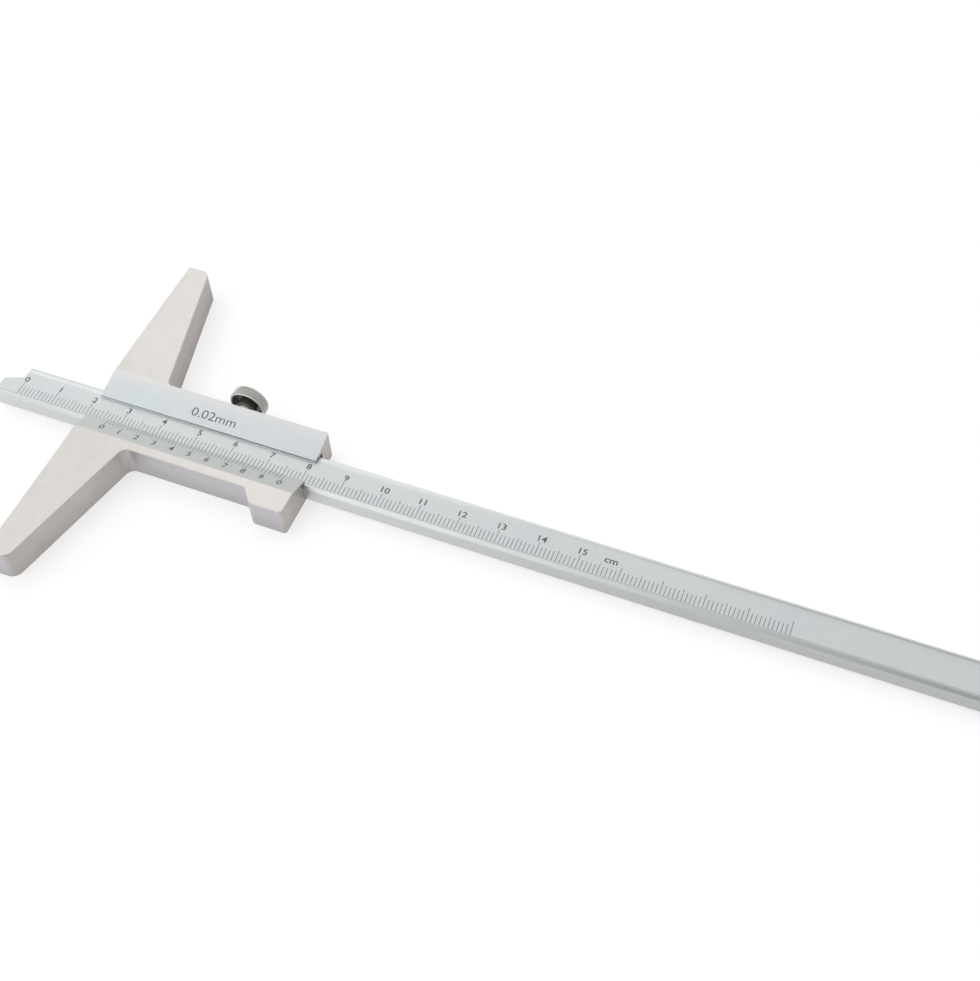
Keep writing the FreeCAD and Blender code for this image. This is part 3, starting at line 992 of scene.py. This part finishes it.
@dataclass
class BaseFrame:
    """The base frame: its finish, the vernier on its front bevel and the reading on its rear one.

    Attributes:
        vernier_zero: X of the vernier's zero line.
        divisions: how many divisions the vernier has.
        vernier_span: its whole length in millimetres.
        numbered_every: divisions between two numbered lines.
        front_lip: Y and Z of the front bevel's lower edge.
        front_crease: Y and Z of its upper edge.
        rear_lip: Y and Z of the rear bevel's lower edge.
        rear_crease: Y and Z of its upper edge.
        lip_gap: how far the vernier lines end before the lip.
        short_line: length of a vernier line.
        long_line: length of a numbered vernier line.
        line_width: width of a vernier line.
        number_place: middle of a numeral, along X from its line and up the bevel from its lip.
        number_style: how the numerals are cut.
        reading: the words on the rear bevel.
        reading_place: middle of the words along X, and up the bevel from its lip.
        reading_style: how they are cut.
    """

    vernier_zero: float = 5.98
    divisions: int = 50
    vernier_span: float = 49.0
    numbered_every: int = 5
    front_lip: Pair = (-3.6, 6.7)
    front_crease: Pair = (-9.05, 8.7)
    rear_lip: Pair = (2.5, 6.8)
    rear_crease: Pair = (10.6, 8.7)
    lip_gap: float = 0.02
    short_line: float = 1.6
    long_line: float = 2.1
    line_width: float = 0.16
    number_place: Pair = (0.09, -3.45)
    number_style: Lettering = Lettering(height=1.75, bold=0.015, wide=1.07)
    reading: str = "0.02mm"
    reading_place: Pair = (30.7, 3.28)
    reading_style: Lettering = Lettering(height=2.42, bold=-0.008, wide=1.12)

    @staticmethod
    def bevel(lip: Pair, crease: Pair) -> Ground:
        """Describe a bevel as a ground that starts at its lip.

        Args:
            lip: Y and Z of its lower edge.
            crease: Y and Z of its upper edge.

        Returns:
            The ground, with numerals upright towards +Y.
        """
        up = Vector((0.0, crease[0] - lip[0], crease[1] - lip[1])).normalized()
        if up.y < 0:
            up.negate()
        return Ground((0.0, lip[0], lip[1]), (1.0, 0.0, 0.0), tuple(up))

    def build(self, steel: Material, paint: Material, fine: Material) -> None:
        """Dress the frame and engrave both bevels.

        Args:
            steel: the frame's finish.
            paint: the filling of the numerals.
            fine: the thinner filling of the lines.
        """
        dress_node("base_frame", steel)
        front = self.bevel(self.front_lip, self.front_crease)
        vernier = Engraver("vernier_scale", front)
        numbers = Engraver("vernier_numbers", front)
        shift, middle = self.number_place
        step = self.vernier_span / self.divisions
        for division in range(self.divisions + 1):
            x = self.vernier_zero + division * step
            numbered = division % self.numbered_every == 0
            length = self.long_line if numbered else self.short_line
            vernier.line(x, -length, -self.lip_gap, self.line_width)
            if numbered:
                numeral = str(division // self.numbered_every % 10)
                numbers.text(numeral, x + shift, middle, self.number_style)
        vernier.finish(fine, Body.FRAME, Slot.FRAME_STEEL)
        numbers.finish(paint, Body.FRAME, Slot.FRAME_STEEL)
        rear = Engraver("reading_mark", self.bevel(self.rear_lip, self.rear_crease))
        rear.text(self.reading, *self.reading_place, self.reading_style)
        rear.finish(paint, Body.FRAME, Slot.FRAME_STEEL)


@dataclass
class LockScrew:
    """The thumb screw with its diamond knurl and its thread, in millimetres.

    Attributes:
        around: knurl points round the rim.
        rows: knurl points across the rim, counted in half points.
        knurl_depth: depth of the knurl's grooves.
        dirt_share: share of that depth that stays free of the painted groove shade.
        rim_chamfer: bevel at both sides of the rim.
        collar_length: length of the collar under the head.
        collar_radius: its radius.
        recess_radius: radius of the hollow in the head's inner face.
        recess_deep: depth of that hollow.
        recess_bevel: width of the bevel round its mouth.
        dish_radius: radius of the dish in the outer face.
        dish_deep: its depth.
        head_thick: thickness of the head.
        shank_radius: radius over the thread.
        thread_deep: depth of the thread.
        pitch: the thread's pitch.
        thread_rows: rows of points along one turn of the thread.
        tip_radius: radius of the plain tip.
        tip_length: its length.
        relief: how far the tip's cylinder ends before the thread.
        run_out: how far the thread's cut stays from both ends of the shank.
        ease: bevel of the tip, the collar and the dish's rim.
        dish_step: how deep that rim goes.
        dish_shares: radius and depth of the dish's middle ring, as shares of the dish's own.
        hollow_gap: how far the hollow's painted shade stays outside the shank.
    """

    around: int = 60
    rows: int = 8
    knurl_depth: float = 0.16
    dirt_share: float = 0.4
    rim_chamfer: float = 0.4
    collar_length: float = 1.0
    collar_radius: float = 2.4
    recess_radius: float = 4.1
    recess_deep: float = 1.4
    recess_bevel: float = 0.18
    dish_radius: float = 2.5
    dish_deep: float = 0.25
    head_thick: float = 3.0
    shank_radius: float = 1.7
    thread_deep: float = 0.3
    pitch: float = 0.6
    thread_rows: int = 8
    tip_radius: float = 1.1
    tip_length: float = 1.0
    relief: float = 0.1
    run_out: float = 0.05
    ease: float = 0.15
    dish_step: float = 0.06
    dish_shares: Pair = (0.5, 0.8)
    hollow_gap: float = 0.1

    TOUCH = 0.01
    MERGE = 0.001

    def profile(self, tip: float, far: float, radius: float) -> List[Pair]:
        """List the turned outline from the tip's middle to the head's middle.

        Args:
            tip: where the tip ends along the screw.
            far: where the head ends.
            radius: the head's radius.

        Returns:
            Radius and place along the screw of each point.
        """
        near = far - self.head_thick
        thread_start = tip + self.tip_length
        thread_end = near - self.collar_length
        points = [
            (0.0, tip),
            (self.tip_radius - self.ease, tip),
            (self.tip_radius, tip + self.ease),
            (self.tip_radius, thread_start - self.relief),
        ]
        steps = int((thread_end - thread_start) / self.pitch * self.thread_rows)
        for step in range(steps + 1):
            points.append((self.shank_radius, thread_start + (thread_end - thread_start) * step / steps))
        points += [
            (self.collar_radius - self.ease, thread_end),
            (self.collar_radius, thread_end + self.ease),
            (self.collar_radius, near + self.recess_deep),
            (self.recess_radius, near + self.recess_deep),
            (self.recess_radius, near + self.recess_bevel),
            (self.recess_radius + self.recess_bevel, near),
            (radius - self.rim_chamfer, near),
        ]
        low = near + self.rim_chamfer
        high = far - self.rim_chamfer
        for row in range(self.rows + 1):
            points.append((radius, low + (high - low) * row / self.rows))
        reach, depth = self.dish_shares
        points += [
            (radius - self.rim_chamfer, far),
            (self.dish_radius + self.ease, far),
            (self.dish_radius, far - self.dish_step),
            (self.dish_radius * reach, far - self.dish_deep * depth),
            (0.0, far - self.dish_deep),
        ]
        return points

    def knurl_finish(self) -> KnurlFinish:
        """Describe the finish whose painted shade in the grooves follows this knurl.

        Returns:
            The finish.
        """
        low_corner, high_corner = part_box("lock_screw")
        radius = (high_corner.x - low_corner.x) / 2
        return KnurlFinish(
            "knurled_nickel", up=srgb(236, 235, 231), cloud=srgb(240, 239, 235), side=srgb(234, 233, 228),
            edge=srgb(236, 235, 231), metallic=0.75, rough=0.36, edge_radius=0.04 * MM,
            axis_x=(low_corner.x + high_corner.x) / 2, axis_z=(low_corner.z + high_corner.z) / 2,
            groove_radius=radius - self.knurl_depth * MM,
            crest_radius=radius - self.knurl_depth * self.dirt_share * MM,
            groove=srgb(96, 95, 91), flat=srgb(192, 190, 185),
        )

    def cut_knurl(self, bm: BMesh, low: float, high: float, radius: float) -> None:
        """Press the diamond pattern into the rim.

        Args:
            bm: the turned screw, along Z.
            low: where the knurl starts.
            high: where it ends.
            radius: the rim's radius.
        """
        sunk = []
        spacing = (high - low) / self.rows
        for vertex in bm.verts:
            reach = math.hypot(vertex.co.x, vertex.co.y)
            inside = low - spacing / 2 < vertex.co.z < high + spacing / 2
            if not inside or abs(reach - radius) > self.TOUCH:
                continue
            row = round((vertex.co.z - low) / spacing)
            column = round(math.atan2(vertex.co.y, vertex.co.x) / math.tau * 2 * self.around)
            if (row + column) % 2:
                share = (radius - self.knurl_depth) / radius
                vertex.co.x *= share
                vertex.co.y *= share
                sunk.append(vertex)
        bmesh.ops.connect_verts(bm, verts=sunk)

    def cut_thread(self, bm: BMesh, low: float, high: float) -> None:
        """Cut the helical thread into the shank.

        Args:
            bm: the turned screw, along Z.
            low: where the thread starts.
            high: where it ends.
        """
        for vertex in bm.verts:
            reach = math.hypot(vertex.co.x, vertex.co.y)
            if abs(reach - self.shank_radius) > self.TOUCH or not low < vertex.co.z < high:
                continue
            turn = math.atan2(vertex.co.y, vertex.co.x) / math.tau
            phase = (vertex.co.z / self.pitch - turn) % 1.0
            share = (self.shank_radius - self.thread_deep * abs(2 * phase - 1)) / self.shank_radius
            vertex.co.x *= share
            vertex.co.y *= share

    def darken_hollow(self, bm: BMesh, near: float) -> None:
        """Give the hollow inner face of the head, and the collar, the screw's second finish: a darker metal
        that paints the shade in the recess.

        Args:
            bm: the turned screw, along Z.
            near: where the inner face stands.
        """
        start = near - self.collar_length - self.TOUCH
        end = near + self.recess_deep + self.TOUCH
        for face in bm.faces:
            centre = face.calc_center_median()
            reach = math.hypot(centre.x, centre.y)
            inner = self.shank_radius + self.hollow_gap < reach < self.recess_radius + self.recess_bevel
            if inner and start < centre.z < end:
                face.material_index = 1

    def build(self, metal: Material, hollow: Material) -> None:
        """Turn, thread and knurl the screw, in place of the plain solid.

        Args:
            metal: its finish.
            hollow: the darker finish of the head's inner face and collar, which paints the shade in the
                recess.
        """
        low_corner, high_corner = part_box("lock_screw")
        middle = (low_corner + high_corner) / 2
        tip = low_corner.y / MM
        far = high_corner.y / MM
        radius = (high_corner.x - low_corner.x) / 2 / MM
        near = far - self.head_thick
        bm = bmesh.new()
        verts = [bm.verts.new((reach, 0.0, along)) for reach, along in self.profile(tip, far, radius)]
        edges = [bm.edges.new(pair) for pair in zip(verts, verts[1:])]
        bmesh.ops.spin(
            bm, geom=verts + edges, cent=(0, 0, 0), axis=(0, 0, 1), angle=math.tau,
            steps=2 * self.around, use_merge=True,
        )
        bmesh.ops.remove_doubles(bm, verts=bm.verts, dist=self.MERGE)
        self.cut_knurl(bm, near + self.rim_chamfer, far - self.rim_chamfer, radius)
        self.cut_thread(bm, tip + self.tip_length + self.run_out, near - self.collar_length - self.run_out)
        self.darken_hollow(bm, near)
        bmesh.ops.recalc_face_normals(bm, faces=bm.faces)
        turned = Matrix.Rotation(math.radians(-90), 4, "X")
        place = Matrix.Translation((middle.x, 0.0, middle.z)) @ turned @ Matrix.Scale(MM, 4)
        bmesh.ops.transform(bm, matrix=place, verts=bm.verts)
        piece = finished_object("knurled_lock_screw", bm, metal)
        piece.data.materials.append(hollow)
        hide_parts("lock_screw")
        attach(piece, Body.LOCK.value)
        log.info("knurled_lock_screw: %d faces", len(piece.data.polygons))


@dataclass
class Studio:
    """White floor, soft light and the camera at the photograph's place.

    Attributes:
        camera_place: the camera's place in millimetres.
        camera_turn: its rotation in degrees.
        lens: its focal length in millimetres.
        sensor: width of its film in millimetres.
        clip: how near it sees, in metres.
        floor_size: width of the floor in metres.
        floor_grey: the floor's own colour, which holds the shadow.
        floor_lift: light that the floor adds where the camera sees it.
        floor_front: light that it adds in reflections, under the base and under the beam's end.
        floor_front_span: X where the first ends and where the second begins, in metres.
        floor_rear: the same two lights behind the gauge.
        floor_rear_span: X of their ends.
        floor_turn: Y where the front of the floor ends and where its rear begins.
        sky: strength of the sky far to -X, nearer over the slide, and straight above to +X.
        sky_spans: X of the directions where each gives way to the next.
        front: what the front of the sky adds in the same three places.
        front_spans: X of the directions where each of these gives way to the next.
        front_turn: Y of the directions where the front begins and where it is whole.
        horizon: share of the sky's strength near the floor.
        horizon_span: Z of the directions where that ends and where the sky is whole.
        key_place: where the large lamp hangs, in metres.
        key_aim: what it looks at.
        key_width: its width in metres.
        key_power: its power in watts.
    """

    camera_place: Triple = (186.03, -178.23, 282.27)
    camera_turn: Triple = (36.669, 1.593, 21.799)
    lens: float = 53.17
    sensor: float = 36.0
    clip: float = 0.01
    floor_size: float = 6.0
    floor_grey: float = 0.5
    floor_lift: float = 0.62
    floor_front: Pair = (0.72, 0.45)
    floor_front_span: Pair = (0.055, 0.155)
    floor_rear: Pair = (0.5, 1.0)
    floor_rear_span: Pair = (-0.02, 0.22)
    floor_turn: Pair = (0.0, 0.01)
    sky: Triple = (1.06, 0.93, 0.68)
    sky_spans: Tuple[Pair, Pair] = ((-0.6, -0.5), (-0.3, -0.02))
    front: Triple = (-0.1, 1.1, -0.4)
    front_spans: Tuple[Pair, Pair] = ((-0.52, -0.36), (-0.32, -0.02))
    front_turn: Pair = (-0.3, -0.8)
    horizon: float = 0.85
    horizon_span: Pair = (0.05, 0.6)
    key_place: Triple = (-0.35, 0.25, 0.75)
    key_aim: Triple = (0.06, 0.0, 0.0)
    key_width: float = 0.7
    key_power: float = 0.8

    def build_camera(self) -> None:
        """Place the camera."""
        data = bpy.data.cameras.new("photo_camera")
        data.lens = self.lens
        data.sensor_width = self.sensor
        data.clip_start = self.clip
        camera = new_object("photo_camera", data)
        camera.location = Vector(self.camera_place) * MM
        camera.rotation_euler = Euler([math.radians(turn) for turn in self.camera_turn], "XYZ")
        bpy.context.scene.camera = camera

    def build_floor(self) -> None:
        """Lay the floor, white where it is seen and still darker in the object's shadow."""
        material, shader = new_material("studio_floor")
        wire = Wiring(material.node_tree)
        path = wire.add("ShaderNodeLightPath")
        x, y, _ = wire.axes()
        front = wire.spread(x, *self.floor_front_span, *self.floor_front)
        rear = wire.spread(x, *self.floor_rear_span, *self.floor_rear)
        mirrored = wire.spread(y, *self.floor_turn, front, rear)
        mirrored = wire.product(mirrored, path.outputs["Is Glossy Ray"])
        direct = wire.maths("MAXIMUM", path.outputs["Is Camera Ray"], path.outputs["Is Transmission Ray"])
        lift = wire.maths("MULTIPLY_ADD", direct, self.floor_lift, mirrored)
        wire.plug(shader, {
            "Base Color": (self.floor_grey,) * 3, "Roughness": 1.0, "Specular IOR Level": 0.0,
            "Emission Color": WHITE, "Emission Strength": lift,
        })
        bm = bmesh.new()
        bmesh.ops.create_grid(bm, x_segments=1, y_segments=1, size=self.floor_size / 2)
        floor = finished_object("studio_floor", bm, material)

    @staticmethod
    def three_levels(wire: Wiring, along: NodeSocket, levels: Triple, spans: Tuple[Pair, Pair]) -> NodeSocket:
        """Lead a value through three levels.

        Args:
            wire: the wiring.
            along: the value that it follows.
            levels: the three levels.
            spans: where the first gives way to the second, and the second to the third.

        Returns:
            Its socket.
        """
        first, middle, last = levels
        nearer = wire.spread(along, *spans[1], middle, last)
        return wire.maths("ADD", nearer, wire.spread(along, *spans[0], first - middle, 0.0))

    def build_sky(self) -> None:
        """Make a dome that fades towards +X and the floor, and that the camera sees as white."""
        world = bpy.data.worlds.new("studio_sky")
        bpy.context.scene.world = world
        world.use_nodes = True
        wire = Wiring(world.node_tree)
        x, y, z = wire.axes("Generated")
        dome = self.three_levels(wire, x, self.sky, self.sky_spans)
        dome = wire.product(dome, wire.spread(z, *self.horizon_span, self.horizon, 1.0))
        front = self.three_levels(wire, x, self.front, self.front_spans)
        dome = wire.maths("MULTIPLY_ADD", wire.spread(y, *self.front_turn), front, dome)
        seen = wire.add("ShaderNodeLightPath").outputs["Is Camera Ray"]
        wire.plug(world.node_tree.nodes["Background"], {
            "Color": WHITE, "Strength": wire.spread(seen, 0.0, 1.0, dome, 1.0),
        })

    def build_lamp(self) -> None:
        """Hang one large, soft, square lamp that looks at the slide."""
        data = bpy.data.lights.new("key_lamp", "AREA")
        data.size = self.key_width
        data.energy = self.key_power
        lamp = new_object("key_lamp", data)
        lamp.location = self.key_place
        aim = Vector(self.key_aim) - Vector(self.key_place)
        lamp.rotation_euler = aim.to_track_quat("-Z", "Y").to_euler()

    def build(self) -> None:
        """Build the whole studio."""
        bpy.context.scene.view_settings.view_transform = "Standard"
        self.build_camera()
        self.build_floor()
        self.build_sky()
        self.build_lamp()


def build_finishes(screw: LockScrew) -> Dict[str, Material]:
    """Make every material of the gauge.

    Args:
        screw: the lock screw, whose knurl has a finish fitted to it.

    Returns:
        The materials by name.
    """
    effects = SharedEffects()
    finishes = (
        FrameFinish(
            "ground_steel", up=srgb(219, 215, 211), cloud=srgb(208, 205, 201), side=srgb(191, 189, 192),
            edge=srgb(232, 230, 227), stretch=(9000.0, 350.0, 9000.0),
            rear_bevel=srgb(202, 210, 212), rear_tint=srgb(204, 206, 211), rear_edge=srgb(214, 214, 212),
            front_bevel=srgb(210, 213, 211), lip_line=srgb(92, 100, 105), lip_start=srgb(142, 150, 154),
            lip_face=srgb(246, 247, 248), ahead=srgb(193, 187, 184), ahead_cloud=srgb(181, 175, 171),
        ),
        BeamFinish(
            "satin_beam", up=srgb(209, 213, 212), cloud=srgb(213, 217, 216), side=srgb(205, 207, 208),
            edge=srgb(236, 238, 238), rough=0.3, stretch=(350.0, 9000.0, 9000.0),
            foot_ink=srgb(192, 197, 197), rear_ink=srgb(190, 194, 195),
            chamfer_near=srgb(194, 199, 198), chamfer_far=srgb(234, 237, 237),
            frost=srgb(217, 222, 224), frost_cloud=srgb(220, 224, 223),
        ),
        MetalFinish(
            "cover_plate", up=srgb(196, 198, 198), cloud=srgb(204, 205, 205), side=srgb(170, 172, 173),
            edge=srgb(232, 233, 233),
        ),
        MetalFinish(
            "screw_steel", up=srgb(150, 150, 152), cloud=srgb(165, 165, 166), side=srgb(130, 130, 132),
            edge=srgb(205, 205, 206), metallic=1.0, rough=0.34,
        ),
        MetalFinish(
            "gib_bronze", up=srgb(196, 152, 96), cloud=srgb(206, 164, 108), side=srgb(186, 140, 86),
            edge=srgb(232, 196, 140), metallic=1.0, rough=0.38,
        ),
        screw.knurl_finish(),
        # Painted shade: the head's recess and collar take this darker metal.
        MetalFinish(
            "shaded_hollow", up=srgb(112, 109, 102), cloud=srgb(122, 119, 112), side=srgb(132, 130, 123),
            edge=srgb(225, 223, 216), metallic=0.6, rough=0.26, edge_radius=0.05 * MM,
        ),
    )
    materials = {finish.name: finish.build(effects) for finish in finishes}
    for paint in (
        PaintFinish("numeral_filling", srgb(74, 82, 80), srgb(104, 112, 110)),
        PaintFinish("line_filling", srgb(108, 114, 112), srgb(134, 140, 138), 0.7),
    ):
        materials[paint.name] = paint.build()
    return materials


def main() -> None:
    """Build the studio and every sub-assembly in order."""
    logging.basicConfig(level=logging.INFO)
    Studio().build()
    screw = LockScrew()
    materials = build_finishes(screw)
    BaseFrame().build(materials["ground_steel"], materials["numeral_filling"], materials["line_filling"])
    DepthBeam().build(materials["satin_beam"], materials["numeral_filling"], materials["line_filling"])
    screw.build(materials["knurled_nickel"], materials["shaded_hollow"])
    dress_node("back_cover", materials["cover_plate"])
    dress_node("back_cover_screws", materials["screw_steel"])
    dress_node("gib_set_screws", materials["screw_steel"])
    dress_node("gib_strip", materials["gib_bronze"])


if __name__ == "__main__":
    main()
